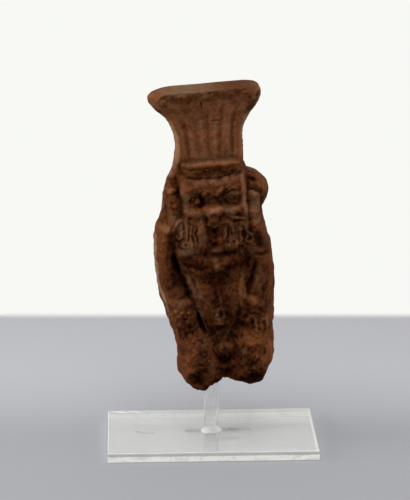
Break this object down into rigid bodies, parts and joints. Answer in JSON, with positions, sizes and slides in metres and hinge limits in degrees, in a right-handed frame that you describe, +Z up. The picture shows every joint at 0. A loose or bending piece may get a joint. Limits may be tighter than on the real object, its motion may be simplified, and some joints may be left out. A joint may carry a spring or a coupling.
{
  "type": "bes figure",
  "caption": "Mould-made terracotta figure of a bearded, lion-faced dwarf god with a tall feather crown, broken off at the knees and held up by a clear rod on a clear plate.",
  "frame": {"origin": "middle of the plate's underside, on the surface that it stands on", "axes": "+Z up, -Y out of the figure's front, +X to the viewer's right"},
  "size_m": [0.069, 0.042, 0.1214],
  "materials": {
    "terracotta": "matt unglazed fired clay, worn and dusty",
    "acrylic": "clear polished sheet and rod with pale sawn edges"
  },
  "bodies": {
    "root": {"figure": "terracotta", "rod": "acrylic", "base_plate": "acrylic"}
  },
  "joints": []
}
